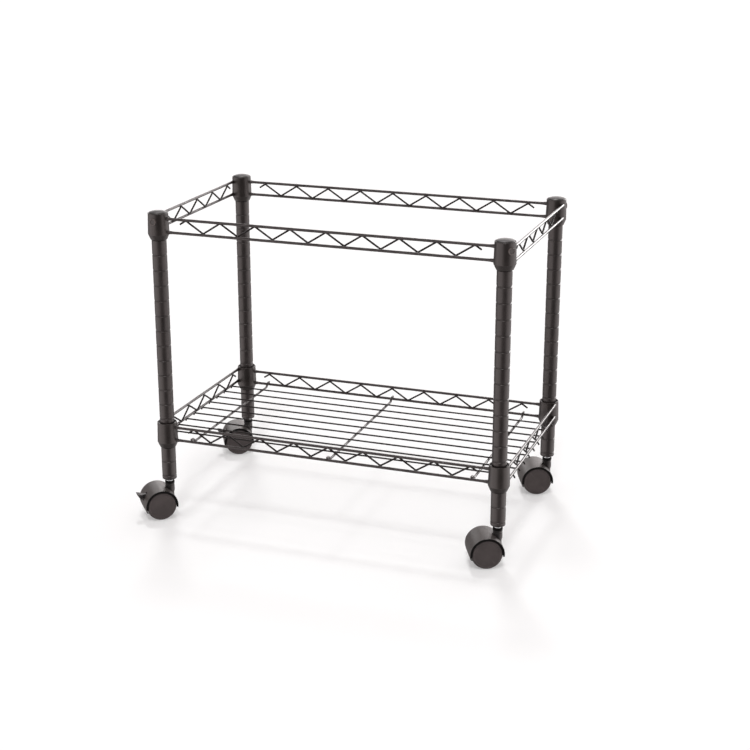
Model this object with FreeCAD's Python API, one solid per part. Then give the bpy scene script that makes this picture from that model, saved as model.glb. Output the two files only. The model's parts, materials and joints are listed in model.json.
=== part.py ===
import FreeCAD, Part
import math
import os

# Wire shelf cart: four grooved tube posts on swivelling twin-wheel casters carry an
# open top frame for hanging files and a wire shelf below it.
# Millimetres. +X runs along the long side to the right, +Y to the rear, +Z up.
# The origin is on the floor, under the middle of the four posts.

Vector = FreeCAD.Vector
UP = Vector(0, 0, 1)

# ---- overall layout
POST_SPACING_X = 575.0
POST_SPACING_Y = 321.0
POST_BOTTOM = 65.0
SHELF_WIRE_Z = 157.0
GROOVE_PITCH = 25.4
GROOVES_BETWEEN_LEVELS = 14
TOP_WIRE_Z = SHELF_WIRE_Z + GROOVES_BETWEEN_LEVELS * GROOVE_PITCH

# ---- posts
POST_RADIUS = 12.0
POST_WALL = 1.2
POST_BORE = POST_RADIUS - POST_WALL
GROOVE_DEPTH = 0.4
GROOVE_MOUTH = 1.8
GROOVE_FLOOR = 0.8

# ---- corner collars and the split sleeves inside them
RIM_ABOVE_WIRE = 9.4
COLLAR_TAPER_HEIGHT = 34.5
COLLAR_BEVEL_HEIGHT = 9.0
COLLAR_RIM_RADIUS = 16.3
COLLAR_WIDE_RADIUS = 17.3
COLLAR_WALL = 1.5
COLLAR_FOOT_RADIUS = 13.3
COLLAR_FOOT_GAP = 0.3
COLLAR_FOOT_LIP = 2.0
GROOVE_BELOW_RIM = 18.0
SLEEVE_TOP_GAP = 2.0
SLEEVE_BOTTOM_GAP = 1.0
SLEEVE_SPLIT = 1.0
BADGE_RADIUS = 5.8
BADGE_RISE = 0.6
BADGE_BELOW_RIM = 12.5

# ---- trusses round both levels
RAIL_RADIUS = 2.25
RAIL_GAP = 22.0
WELD_RADIUS = 3.1
WELD_STRAIGHT = 10.0
WELD_LENGTH = 24.3
LONG_RAIL_INSET = 2.0
SIDE_RAIL_INSET = 4.5
WEB_RADIUS = 1.35
WEB_PITCH = 60.0
WEB_INSET = 3.35
WEB_SHORT_OF_RAIL = 1.5
WEB_BEND = 3.0
WEB_STUB = 10.5
LONG_WEB_PEAKS = 9
SIDE_WEB_PEAKS = 5
SIDE_OFFSET = 12.5
SHELF_SIDE_LIFT = 4.4

# ---- shelf mat
MAT_RADIUS = 1.2
MAT_COUNT = 9
MAT_PITCH = 31.0
MAT_PAST_RAIL = 2.0
MAT_TIP_OUT = 1.2
MAT_TIP_DOWN = 4.0
MAT_TIP_BEND = 3.0
CROSS_RADIUS = 1.95
CROSS_SPACING = 243.0
CROSS_RISE_START = 12.5
CROSS_RISE_END = 4.5
CROSS_PAST_RAIL = 1.5
CROSS_BEND = 3.0

# ---- post ends
CAP_RADIUS = 14.2
CAP_SEAT_BELOW_RIM = 1.0
CAP_HEIGHT = 4.5
CAP_EDGE = 2.0
PLUG_LENGTH = 14.0
INSERT_FLANGE = 2.5
INSERT_EDGE = 1.0
INSERT_LENGTH = 22.0

# ---- caster, in its own frame: the swivel axis is Z and it trails towards +X
WHEEL_RADIUS = 25.0
TRAIL = 20.0
WHEEL_WIDTH = 18.2
WHEEL_INNER_FACE = 7.6
TREAD_EDGE = 2.0
TREAD_SETBACK = 0.8
WHEEL_HUB_RADIUS = 7.2
WHEEL_POCKET_RADIUS = 21.5
WHEEL_POCKET_DEPTH = 12.5
WHEEL_BORE_DEPTH = 13.0
FACE_RING_OUTER = 22.6
FACE_RING_INNER = 21.4
FACE_RING_FOOT = 20.6
FACE_RING_RISE = 0.9
FACE_CROWN = 0.3
HOOD_INNER = 25.9
HOOD_OUTER = 27.6
HOOD_HALF_WIDTH = 26.5
HOOD_PAST_LEVEL = 8.0
HOOD_TAIL = 30.0
TAIL_SHOULDER = 3.5
TAIL_TIP_HEIGHT = 6.0
SECTOR_PAST_HOOD = 5.5
WEB_HALF = 7.0
HUB_RADIUS = 8.0
BOSS_RADIUS = 7.8
BOSS_TOP = 60.5
BOSS_ABOVE_AXLE = 8.0
STEM_RADIUS = 4.75
PIVOT_RADIUS = 4.0
PIVOT_BOTTOM = 39.0
PIVOT_CHAMFER = 0.5
SHAFT_GAP = 0.05
WASHER_GAP = 0.3
WASHER_RADIUS = 5.8
STEM_SHORT_OF_INSERT = 2.0
AXLE_RADIUS = 3.0
AXLE_HALF = 19.5

# ---- brake on the two left casters, measured from the wheel axle
BRAKE_PIVOT = (15.0, 11.0)
BRAKE_BAR = (6.0, 16.0)
BRAKE_PRESS = 14.0
BRAKE_PLAY = 0.4
BRAKE_PIN_RADIUS = 1.5
BRAKE_BAR_RADIUS = 1.7
BRAKE_BAR_HALF = 12.0
BRAKE_EYE_RADIUS = 3.0
BRAKE_SWEEP_STEPS = 4
LEVER_HALF = 2.9
LEVER_OUTLINE = [
    (4.0, 13.5),
    (6.0, 18.0),
    (14.0, 15.5),
    (24.0, 17.0),
    (28.5, 17.0),
    (29.5, 11.0),
    (24.0, 7.5),
    (14.0, 7.5),
]
PEDAL_HALF = 6.8
PEDAL_OUTLINE = [(29.2, 8.0), (28.2, 17.0), (38.5, 19.5), (34.0, 12.0)]

# how far a cutting shape runs past the faces that it cuts
OVERRUN = 1.0
# how close to a solid's surface a point may lie and still count as inside
TOUCH = 0.01

CORNERS = {
    "front_left": (-1, -1),
    "front_right": (1, -1),
    "rear_left": (-1, 1),
    "rear_right": (1, 1),
}
# how far each caster has swivelled from trailing straight towards -X, in degrees
CASTER_SWIVEL = {
    "front_left": 40.0,
    "front_right": 26.0,
    "rear_left": 30.0,
    "rear_right": 24.0,
}
# the direction each top collar's badge faces, in degrees from +X
BADGE_FACING = {
    "front_left": -95.0,
    "front_right": -40.0,
    "rear_left": 95.0,
    "rear_right": 40.0,
}
BRAKED = ("front_left", "rear_left")

RAIL_TOP = {"top": TOP_WIRE_Z, "shelf": SHELF_WIRE_Z}
SIDE_LIFT = {"top": 0.0, "shelf": SHELF_SIDE_LIFT}


def post_centre(corner):
    sx, sy = CORNERS[corner]
    return Vector(sx * POST_SPACING_X / 2, sy * POST_SPACING_Y / 2, 0)


def rim_height(level):
    return RAIL_TOP[level] + RIM_ABOVE_WIRE


def revolved(outline):
    """A solid of revolution about Z from a closed outline of (radius, height) points."""
    points = [Vector(r, 0, z) for r, z in outline]
    face = Part.Face(Part.makePolygon(points + points[:1]))
    return face.revolve(Vector(0, 0, 0), UP, 360)


def box_between(low, high):
    size = high - low
    return Part.makeBox(size.x, size.y, size.z, low)


def bent_rod(points, radius, bend):
    """A round rod along straight runs joined by arcs of the given centreline radius."""
    edges = []
    start = points[0]
    for before, corner, after in zip(points, points[1:], points[2:]):
        arriving = (corner - before).normalize()
        leaving = (after - corner).normalize()
        half_turn = arriving.getAngle(leaving) / 2
        setback = bend * math.tan(half_turn)
        arc_start = corner - arriving * setback
        arc_end = corner + leaving * setback
        to_centre = (leaving - arriving).normalize()
        arc_middle = corner + to_centre * (bend / math.cos(half_turn) - bend)
        edges.append(Part.LineSegment(start, arc_start).toShape())
        edges.append(Part.Arc(arc_start, arc_middle, arc_end).toShape())
        start = arc_end
    edges.append(Part.LineSegment(start, points[-1]).toShape())
    first = (points[1] - points[0]).normalize()
    section = Part.Wire([Part.makeCircle(radius, points[0], first)])
    return Part.Wire(edges).makePipeShell([section], True, False)


def make_post():
    """One post, standing on the origin's axis, grooved round at every pitch."""
    top = rim_height("top") - CAP_SEAT_BELOW_RIM
    bottom = POST_BOTTOM + INSERT_FLANGE
    first_groove = rim_height("shelf") - GROOVE_BELOW_RIM
    while first_groove - GROOVE_PITCH > bottom + GROOVE_MOUTH:
        first_groove -= GROOVE_PITCH
    outline = [(POST_BORE, bottom), (POST_RADIUS, bottom)]
    z = first_groove
    while z < top - GROOVE_MOUTH:
        outline.append((POST_RADIUS, z - GROOVE_MOUTH / 2))
        outline.append((POST_RADIUS - GROOVE_DEPTH, z - GROOVE_FLOOR / 2))
        outline.append((POST_RADIUS - GROOVE_DEPTH, z + GROOVE_FLOOR / 2))
        outline.append((POST_RADIUS, z + GROOVE_MOUTH / 2))
        z += GROOVE_PITCH
    outline += [(POST_RADIUS, top), (POST_BORE, top)]
    return revolved(outline)


def make_post_cap():
    """A domed plug in the open top of a post."""
    seat = rim_height("top") - CAP_SEAT_BELOW_RIM
    rise = CAP_HEIGHT - CAP_EDGE
    sphere_radius = (CAP_RADIUS**2 + rise**2) / (2 * rise)
    head = Part.makeCylinder(CAP_RADIUS, CAP_HEIGHT, Vector(0, 0, seat))
    dome = Part.makeSphere(sphere_radius, Vector(0, 0, seat + CAP_HEIGHT - sphere_radius))
    plug = Part.makeCylinder(POST_BORE, PLUG_LENGTH, Vector(0, 0, seat - PLUG_LENGTH))
    return head.common(dome).fuse(plug).removeSplitter()


def make_stem_insert():
    """The flanged nut pressed into the bottom of a post."""
    top = POST_BOTTOM + INSERT_FLANGE
    outline = [
        (STEM_RADIUS, POST_BOTTOM),
        (POST_RADIUS - INSERT_EDGE, POST_BOTTOM),
        (POST_RADIUS, POST_BOTTOM + INSERT_EDGE),
        (POST_RADIUS, top),
        (POST_BORE, top),
        (POST_BORE, top + INSERT_LENGTH),
        (STEM_RADIUS, top + INSERT_LENGTH),
    ]
    return revolved(outline)


def collar_envelope(level):
    """The outer shape of a collar as a full solid, for trimming the wires to it."""
    rim = rim_height(level)
    wide = rim - COLLAR_TAPER_HEIGHT
    outline = [
        (0, wide - COLLAR_BEVEL_HEIGHT),
        (COLLAR_FOOT_RADIUS, wide - COLLAR_BEVEL_HEIGHT),
        (COLLAR_WIDE_RADIUS, wide),
        (COLLAR_RIM_RADIUS, rim),
        (0, rim),
    ]
    return revolved(outline)


def collar_hollow(level):
    """The space inside a collar: a taper for the sleeves over a foot hole for the post."""
    rim = rim_height(level)
    wide = rim - COLLAR_TAPER_HEIGHT
    foot = wide - COLLAR_BEVEL_HEIGHT
    foot_hole = POST_RADIUS + COLLAR_FOOT_GAP
    outline = [
        (0, foot),
        (foot_hole, foot),
        (foot_hole, foot + COLLAR_FOOT_LIP),
        (COLLAR_WIDE_RADIUS - COLLAR_WALL, wide + SLEEVE_BOTTOM_GAP),
        (COLLAR_RIM_RADIUS - COLLAR_WALL, rim),
        (0, rim),
    ]
    return revolved(outline)


def make_collar(level, badge_facing=None):
    envelope = collar_envelope(level)
    if badge_facing is not None:
        a = math.radians(badge_facing)
        outward = Vector(math.cos(a), math.sin(a), 0)
        centre = Vector(0, 0, rim_height(level) - BADGE_BELOW_RIM)
        widening = (COLLAR_WIDE_RADIUS - COLLAR_RIM_RADIUS) * BADGE_BELOW_RIM / COLLAR_TAPER_HEIGHT
        reach = COLLAR_RIM_RADIUS + widening + BADGE_RISE
        badge = Part.makeCylinder(BADGE_RADIUS, reach, centre, outward)
        envelope = envelope.fuse(badge)
    return envelope.cut(collar_hollow(level))


def make_sleeve_halves(level):
    """The two halves of the tapered sleeve that wedges a collar on its post groove."""
    rim = rim_height(level)
    top = rim - SLEEVE_TOP_GAP
    low = rim - COLLAR_TAPER_HEIGHT + SLEEVE_BOTTOM_GAP
    top_inner_wall = COLLAR_RIM_RADIUS - COLLAR_WALL
    low_inner_wall = COLLAR_WIDE_RADIUS - COLLAR_WALL
    taper = (low_inner_wall - top_inner_wall) / (rim - low)
    bead = rim - GROOVE_BELOW_RIM
    outline = [
        (POST_RADIUS, low),
        (low_inner_wall, low),
        (top_inner_wall + taper * SLEEVE_TOP_GAP, top),
        (POST_RADIUS, top),
        (POST_RADIUS, bead + GROOVE_MOUTH / 2),
        (POST_RADIUS - GROOVE_DEPTH, bead + GROOVE_FLOOR / 2),
        (POST_RADIUS - GROOVE_DEPTH, bead - GROOVE_FLOOR / 2),
        (POST_RADIUS, bead - GROOVE_MOUTH / 2),
    ]
    ring = revolved(outline)
    reach = COLLAR_WIDE_RADIUS + OVERRUN
    halves = []
    for side in (-1, 1):
        near = side * SLEEVE_SPLIT / 2
        far = side * reach
        low_corner = Vector(-reach, min(near, far), low - OVERRUN)
        high_corner = Vector(reach, max(near, far), top + OVERRUN)
        halves.append(ring.common(box_between(low_corner, high_corner)))
    return halves


def trimmed_rail(start, end, collars):
    """One straight wire flared for its welds at both ends and cut to the collars."""
    along = end - start
    outline = [
        (0, 0),
        (WELD_RADIUS, 0),
        (WELD_RADIUS, WELD_STRAIGHT),
        (RAIL_RADIUS, WELD_LENGTH),
        (RAIL_RADIUS, along.Length - WELD_LENGTH),
        (WELD_RADIUS, along.Length - WELD_STRAIGHT),
        (WELD_RADIUS, along.Length),
        (0, along.Length),
    ]
    rail = revolved(outline)
    rail.Placement = FreeCAD.Placement(start, FreeCAD.Rotation(UP, along))
    for collar in collars:
        rail = rail.cut(collar)
    middle = (start + end) * 0.5
    pieces = [s for s in rail.Solids if s.isInside(middle, TOUCH, True)]
    return pieces[0]


def level_collars(level):
    envelope = collar_envelope(level)
    return [envelope.translated(post_centre(corner)) for corner in CORNERS]


def make_long_rails(level, side):
    y = side * POST_SPACING_Y / 2
    reach = POST_SPACING_X / 2 - LONG_RAIL_INSET
    collars = level_collars(level)
    rails = []
    for z in (RAIL_TOP[level], RAIL_TOP[level] - RAIL_GAP):
        rails.append(trimmed_rail(Vector(-reach, y, z), Vector(reach, y, z), collars))
    return rails


def make_side_rails(level, side):
    x = side * (POST_SPACING_X / 2 + SIDE_OFFSET)
    reach = POST_SPACING_Y / 2 - SIDE_RAIL_INSET
    collars = level_collars(level)
    high = RAIL_TOP[level] + SIDE_LIFT[level]
    rails = []
    for z in (high, high - RAIL_GAP):
        rails.append(trimmed_rail(Vector(x, -reach, z), Vector(x, reach, z), collars))
    return rails


def web_points(peaks, top):
    """(distance along the truss, height) of a zigzag web with short stub ends."""
    high = top - WEB_SHORT_OF_RAIL
    low = top - RAIL_GAP + WEB_SHORT_OF_RAIL
    first = -WEB_PITCH * (peaks - 1) / 2
    stub_drop = WEB_STUB * (high - low) / (WEB_PITCH / 2)
    points = [(first - WEB_STUB, high - stub_drop)]
    for i in range(2 * peaks - 1):
        points.append((first + i * WEB_PITCH / 2, high if i % 2 == 0 else low))
    points.append((-first + WEB_STUB, high - stub_drop))
    return points


def make_web(points, along):
    """A zigzag rod parted at the crowns of its bends, so that each stroke is a solid."""
    rest = bent_rod(points, WEB_RADIUS, WEB_BEND)
    strokes = []
    for bend in points[1:-1]:
        behind = Part.makeCylinder(RAIL_GAP, WEB_PITCH, bend - along * WEB_PITCH, along)
        strokes.append(rest.common(behind))
        rest = rest.cut(behind)
    return Part.makeCompound(strokes + [rest])


def make_long_web(level, side):
    y = side * (POST_SPACING_Y / 2 - WEB_INSET)
    points = [Vector(x, y, z) for x, z in web_points(LONG_WEB_PEAKS, RAIL_TOP[level])]
    return make_web(points, Vector(1, 0, 0))


def make_side_web(level, side):
    x = side * (POST_SPACING_X / 2 + SIDE_OFFSET - WEB_INSET)
    top = RAIL_TOP[level] + SIDE_LIFT[level]
    points = [Vector(x, y, z) for y, z in web_points(SIDE_WEB_PEAKS, top)]
    return make_web(points, Vector(0, 1, 0))


def mat_height():
    """The mat wires are welded under the shelf's lower side rails."""
    side_rail = SHELF_WIRE_Z + SHELF_SIDE_LIFT - RAIL_GAP
    return side_rail - RAIL_RADIUS - MAT_RADIUS


def make_mat_wires():
    """Long thin wires whose turned-down tips stand just outside the side rails."""
    z = mat_height()
    corner_x = POST_SPACING_X / 2 + SIDE_OFFSET + MAT_PAST_RAIL
    tip_x = corner_x + MAT_TIP_OUT
    tip_z = z - MAT_TIP_DOWN
    wires = []
    for i in range(MAT_COUNT):
        y = (i - (MAT_COUNT - 1) / 2) * MAT_PITCH
        points = [
            Vector(-tip_x, y, tip_z),
            Vector(-corner_x, y, z),
            Vector(corner_x, y, z),
            Vector(tip_x, y, tip_z),
        ]
        wires.append(bent_rod(points, MAT_RADIUS, MAT_TIP_BEND))
    return wires


def make_cross_wires():
    """Three wires under the mat whose ends rise and lie on the lower long rails."""
    low = mat_height() - MAT_RADIUS - CROSS_RADIUS
    high = SHELF_WIRE_Z - RAIL_GAP + RAIL_RADIUS + CROSS_RADIUS
    rail_y = POST_SPACING_Y / 2
    half = [
        Vector(0, rail_y - CROSS_RISE_START, low),
        Vector(0, rail_y - CROSS_RISE_END, high),
        Vector(0, rail_y + CROSS_PAST_RAIL, high),
    ]
    wires = []
    for i in (-1, 0, 1):
        shift = Vector(i * CROSS_SPACING, 0, 0)
        rear = [p + shift for p in half]
        front = [Vector(p.x, -p.y, p.z) for p in rear]
        wires.append(bent_rod(front[::-1] + rear, CROSS_RADIUS, CROSS_BEND))
    return wires


def make_stem():
    """The steel stem: threaded into the insert above, a plain pivot pin below."""
    top = POST_BOTTOM + INSERT_LENGTH - STEM_SHORT_OF_INSERT
    outline = [
        (0, PIVOT_BOTTOM),
        (PIVOT_RADIUS - PIVOT_CHAMFER, PIVOT_BOTTOM),
        (PIVOT_RADIUS, PIVOT_BOTTOM + PIVOT_CHAMFER),
        (PIVOT_RADIUS, BOSS_TOP + WASHER_GAP),
        (WASHER_RADIUS, BOSS_TOP + WASHER_GAP),
        (WASHER_RADIUS, POST_BOTTOM),
        (STEM_RADIUS, POST_BOTTOM),
        (STEM_RADIUS, top),
        (0, top),
    ]
    return revolved(outline)


def axle_disc(radius, half_width):
    """A cylinder on the wheel axle, as wide on both sides of the caster's middle."""
    start = Vector(TRAIL, -half_width, WHEEL_RADIUS)
    return Part.makeCylinder(radius, 2 * half_width, start, Vector(0, 1, 0))


def from_axle(x, z):
    return Vector(TRAIL + x, 0, WHEEL_RADIUS + z)


def slab(points, half_width, grow=0.0):
    """A plate across the caster: (x, z) points from the axle, extruded along the axle."""
    corners = [from_axle(x, z) - Vector(0, half_width, 0) for x, z in points]
    face = Part.Face(Part.makePolygon(corners + corners[:1]))
    if grow:
        face = face.makeOffset2D(grow)
    return face.extrude(Vector(0, 2 * half_width, 0))


def cross_pin(radius, half_width, place):
    start = from_axle(*place) - Vector(0, half_width, 0)
    return Part.makeCylinder(radius, 2 * half_width, start, Vector(0, 1, 0))


def hood_sector(tail):
    """A prism over the part of the hood kept: past level at the front, or its tail too."""
    reach = HOOD_OUTER + SECTOR_PAST_HOOD
    front = math.radians(180 + HOOD_PAST_LEVEL)
    back = math.radians(-HOOD_PAST_LEVEL - (HOOD_TAIL if tail else 0))
    points = [
        (0, 0),
        (reach * math.cos(back), reach * math.sin(back)),
        (reach, reach),
        (-reach, reach),
        (reach * math.cos(front), reach * math.sin(front)),
    ]
    return slab(points, HOOD_HALF_WIDTH + OVERRUN)


def make_hood():
    shell = axle_disc(HOOD_OUTER, HOOD_HALF_WIDTH)
    shell = shell.cut(axle_disc(HOOD_INNER, HOOD_HALF_WIDTH + OVERRUN))
    hood = shell.common(hood_sector(False))
    # the tail narrows from the full width down to the web between the wheels
    shoulder = WHEEL_RADIUS - TAIL_SHOULDER
    tail_outline = [
        Vector(TRAIL, -HOOD_HALF_WIDTH, WHEEL_RADIUS),
        Vector(TRAIL, HOOD_HALF_WIDTH, WHEEL_RADIUS),
        Vector(TRAIL, HOOD_HALF_WIDTH, shoulder),
        Vector(TRAIL, WEB_HALF, TAIL_TIP_HEIGHT),
        Vector(TRAIL, -WEB_HALF, TAIL_TIP_HEIGHT),
        Vector(TRAIL, -HOOD_HALF_WIDTH, shoulder),
    ]
    tail_face = Part.Face(Part.makePolygon(tail_outline + tail_outline[:1]))
    tail_prism = tail_face.extrude(Vector(HOOD_OUTER + OVERRUN, 0, 0))
    tail = shell.common(hood_sector(True)).common(tail_prism)
    return hood.fuse(tail)


def turned_about_brake_pivot(shape, degrees):
    turned = shape.copy()
    turned.rotate(from_axle(*BRAKE_PIVOT), Vector(0, 1, 0), degrees)
    return turned


def make_housing(braked):
    """Hood, web between the wheels and swivel boss, moulded as one piece."""
    web = axle_disc((HOOD_INNER + HOOD_OUTER) / 2, WEB_HALF).common(hood_sector(False))
    hub = axle_disc(HUB_RADIUS, WEB_HALF)
    boss_base = WHEEL_RADIUS + BOSS_ABOVE_AXLE
    boss = Part.makeCylinder(BOSS_RADIUS, BOSS_TOP - boss_base, Vector(0, 0, boss_base))
    wheel_room = axle_disc(HOOD_INNER, HOOD_HALF_WIDTH + OVERRUN)
    wheel_room = wheel_room.cut(axle_disc(HOOD_OUTER, WEB_HALF))
    housing = make_hood().fuse([web, hub, boss.cut(wheel_room)]).removeSplitter()
    bore_floor = Vector(0, 0, PIVOT_BOTTOM - PIVOT_CHAMFER)
    pivot_bore = Part.makeCylinder(PIVOT_RADIUS + SHAFT_GAP, BOSS_TOP, bore_floor)
    housing = housing.cut([pivot_bore, axle_disc(AXLE_RADIUS, WEB_HALF + OVERRUN)])
    if braked:
        housing = housing.cut(brake_room())
    return housing.removeSplitter()


def brake_room():
    """Everything the lever, its pin and its bar sweep inside the housing, with play."""
    pin_hole = cross_pin(BRAKE_PIN_RADIUS, WEB_HALF + OVERRUN, BRAKE_PIVOT)
    plate = slab(LEVER_OUTLINE, LEVER_HALF + BRAKE_PLAY, BRAKE_PLAY)
    eye = cross_pin(BRAKE_EYE_RADIUS + BRAKE_PLAY, LEVER_HALF + BRAKE_PLAY, BRAKE_BAR)
    bar = cross_pin(BRAKE_BAR_RADIUS + BRAKE_PLAY, WEB_HALF + OVERRUN, BRAKE_BAR)
    moving = plate.fuse([eye, bar])
    swept = []
    for i in range(BRAKE_SWEEP_STEPS + 1):
        swept.append(turned_about_brake_pivot(moving, BRAKE_PRESS * i / BRAKE_SWEEP_STEPS))
    return pin_hole.fuse(swept)


def make_brake_lever():
    """A pressed-down pedal outside the hood, with an eye inside that holds the brake bar."""
    plate = slab(LEVER_OUTLINE, LEVER_HALF)
    pedal = slab(PEDAL_OUTLINE, PEDAL_HALF)
    eye = cross_pin(BRAKE_EYE_RADIUS, LEVER_HALF, BRAKE_BAR)
    lever = plate.fuse([pedal, eye]).removeSplitter()
    pin_hole = cross_pin(BRAKE_PIN_RADIUS + SHAFT_GAP, LEVER_HALF + OVERRUN, BRAKE_PIVOT)
    bar_hole = cross_pin(BRAKE_BAR_RADIUS, LEVER_HALF + OVERRUN, BRAKE_BAR)
    return lever.cut([pin_hole, bar_hole])


def make_wheel():
    """One wheel on the +Z side of the origin: tread, dished face and hollow inner side."""
    bore = AXLE_RADIUS + SHAFT_GAP
    outline = [
        (bore, 0),
        (WHEEL_HUB_RADIUS, 0),
        (WHEEL_HUB_RADIUS, WHEEL_POCKET_DEPTH),
        (WHEEL_POCKET_RADIUS, WHEEL_POCKET_DEPTH),
        (WHEEL_POCKET_RADIUS, TREAD_SETBACK),
        (WHEEL_RADIUS - TREAD_EDGE, TREAD_SETBACK),
        (WHEEL_RADIUS, TREAD_SETBACK + TREAD_EDGE),
        (WHEEL_RADIUS, WHEEL_WIDTH - TREAD_EDGE),
        (FACE_RING_OUTER, WHEEL_WIDTH),
        (FACE_RING_INNER, WHEEL_WIDTH),
        (FACE_RING_FOOT, WHEEL_WIDTH - FACE_RING_RISE),
        (0, WHEEL_WIDTH - FACE_RING_RISE + FACE_CROWN),
        (0, WHEEL_BORE_DEPTH),
        (bore, WHEEL_BORE_DEPTH),
    ]
    return revolved(outline)


def placed_wheel(side):
    """The wheel moved on to the axle, side -1 or 1 of the caster's middle."""
    wheel = make_wheel()
    wheel.rotate(Vector(0, 0, 0), Vector(1, 0, 0), -90 * side)
    wheel.translate(Vector(TRAIL, side * WHEEL_INNER_FACE, WHEEL_RADIUS))
    return wheel


def at_corner(shape, corner):
    """Turns a caster piece to its corner's heading and moves it under the post."""
    moved = shape.copy()
    moved.rotate(Vector(0, 0, 0), UP, 180 + CASTER_SWIVEL[corner])
    moved.translate(post_centre(corner))
    return moved


def under_every_post(shape):
    return Part.makeCompound([shape.translated(post_centre(corner)) for corner in CORNERS])


def frame_parts():
    parts = {}
    post = make_post()
    cap = make_post_cap()
    for corner in CORNERS:
        centre = post_centre(corner)
        parts["post_" + corner] = post.translated(centre)
        parts["post_cap_" + corner] = cap.translated(centre)
        top_collar = make_collar("top", BADGE_FACING[corner])
        parts["top_collar_" + corner] = top_collar.translated(centre)
        parts["shelf_collar_" + corner] = make_collar("shelf").translated(centre)
    parts["stem_inserts"] = under_every_post(make_stem_insert())
    parts["caster_stems"] = under_every_post(make_stem())
    for level in RAIL_TOP:
        halves = Part.makeCompound(make_sleeve_halves(level))
        parts[level + "_split_sleeves"] = under_every_post(halves)
        for name, side in (("front", -1), ("rear", 1)):
            rails = Part.makeCompound(make_long_rails(level, side))
            parts[level + "_" + name + "_rails"] = rails
            parts[level + "_" + name + "_web"] = make_long_web(level, side)
        for name, side in (("left", -1), ("right", 1)):
            rails = Part.makeCompound(make_side_rails(level, side))
            parts[level + "_" + name + "_rails"] = rails
            parts[level + "_" + name + "_web"] = make_side_web(level, side)
    parts["shelf_mat_wires"] = Part.makeCompound(make_mat_wires())
    parts["shelf_cross_wires"] = Part.makeCompound(make_cross_wires())
    return parts


def caster_parts():
    parts = {}
    plain_housing = make_housing(False)
    braked_housing = make_housing(True)
    axle = axle_disc(AXLE_RADIUS, AXLE_HALF)
    lever = make_brake_lever()
    pin = cross_pin(BRAKE_PIN_RADIUS, WEB_HALF, BRAKE_PIVOT)
    bar = cross_pin(BRAKE_BAR_RADIUS, BRAKE_BAR_HALF, BRAKE_BAR)
    for corner in CORNERS:
        braked = corner in BRAKED
        housing = braked_housing if braked else plain_housing
        parts["caster_housing_" + corner] = at_corner(housing, corner)
        parts["caster_axle_" + corner] = at_corner(axle, corner)
        parts["caster_wheel_a_" + corner] = at_corner(placed_wheel(1), corner)
        parts["caster_wheel_b_" + corner] = at_corner(placed_wheel(-1), corner)
        if braked:
            parts["brake_lever_" + corner] = at_corner(lever, corner)
            parts["brake_pin_" + corner] = at_corner(pin, corner)
            parts["brake_bar_" + corner] = at_corner(bar, corner)
    return parts


def main():
    os.makedirs("parts", exist_ok=True)
    parts = frame_parts()
    parts.update(caster_parts())
    for node, shape in parts.items():
        shape.exportStep("parts/" + node + ".step")
        print(node, len(shape.Solids), shape.isValid(), round(shape.Volume, 1))


main()
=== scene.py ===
import json
import math

import bmesh
import bpy
from mathutils import Matrix, Vector


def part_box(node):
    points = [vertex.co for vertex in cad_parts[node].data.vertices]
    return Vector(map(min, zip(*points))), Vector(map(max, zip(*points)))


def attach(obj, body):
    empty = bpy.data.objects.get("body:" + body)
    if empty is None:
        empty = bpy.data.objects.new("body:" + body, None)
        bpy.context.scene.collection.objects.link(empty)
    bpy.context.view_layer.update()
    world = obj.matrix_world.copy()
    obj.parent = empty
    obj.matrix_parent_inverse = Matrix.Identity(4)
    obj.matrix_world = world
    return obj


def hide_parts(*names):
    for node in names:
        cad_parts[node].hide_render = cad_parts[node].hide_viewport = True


# A wire shelf cart: powder-coated steel wire and tube on plastic twin-wheel casters. Every
# length is in metres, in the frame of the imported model: X to the right, Y to the rear, Z up.

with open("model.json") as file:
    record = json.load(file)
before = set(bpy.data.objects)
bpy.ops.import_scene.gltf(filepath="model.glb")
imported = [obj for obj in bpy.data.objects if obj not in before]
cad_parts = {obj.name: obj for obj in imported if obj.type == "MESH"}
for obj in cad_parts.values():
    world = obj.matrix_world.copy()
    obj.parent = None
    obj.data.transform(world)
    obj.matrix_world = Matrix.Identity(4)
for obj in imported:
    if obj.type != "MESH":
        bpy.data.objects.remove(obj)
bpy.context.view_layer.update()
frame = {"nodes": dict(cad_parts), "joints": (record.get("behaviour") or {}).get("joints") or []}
joints = {joint["name"]: joint for joint in frame["joints"]}

CORNERS = ("front_left", "front_right", "rear_left", "rear_right")
BRAKED = ("front_left", "rear_left")
LEVELS = ("top", "shelf")
OUTWARD = {"front": (0, -1, 0), "rear": (0, 1, 0), "left": (-1, 0, 0), "right": (1, 0, 0)}

# ---- corner radii that recur, from a moulded corner to a worn one
CRISP = 0.0002
EASED = 0.0003
SOFT = 0.0004
ROUND = 0.0006

# ---- how finely round shapes are divided
LOOP_SIDES = 72
WHEEL_SIDES = 96
STEM_SIDES = 48
BADGE_SIDES = 40
EYE_SIDES = 32
RAIL_SIDES = 20
CROSS_SIDES = 16
WEB_SIDES = 14
MAT_SIDES = 12
GRIP_SIDES = 10
BEAD_SIDES = 10
BEAD_RINGS = 6
CAP_RINGS = 10
HOOD_STEPS = 84
LIP_STEPS = 72
WEB_ARC_STEPS = 40
HUB_ARC_STEPS = 14
# points nearer than this are one point, and an edge that turns more than this stays sharp
MERGE_DISTANCE = 1e-7
SHARP_ANGLE = math.radians(38)

# ---- posts and their ends
GROOVE_PITCH = 0.0254
GROOVE_BELOW_RIM = 0.018
GROOVE_DEPTH = 0.0008
GROOVE_MOUTH = 0.0024
GROOVE_FLOOR = 0.0010
POST_WALL = 0.0012
CAP_RADIUS = 0.0142
CAP_EDGE = 0.0020
CAP_CORNER = 0.0008
INSERT_EDGE = 0.0010

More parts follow.
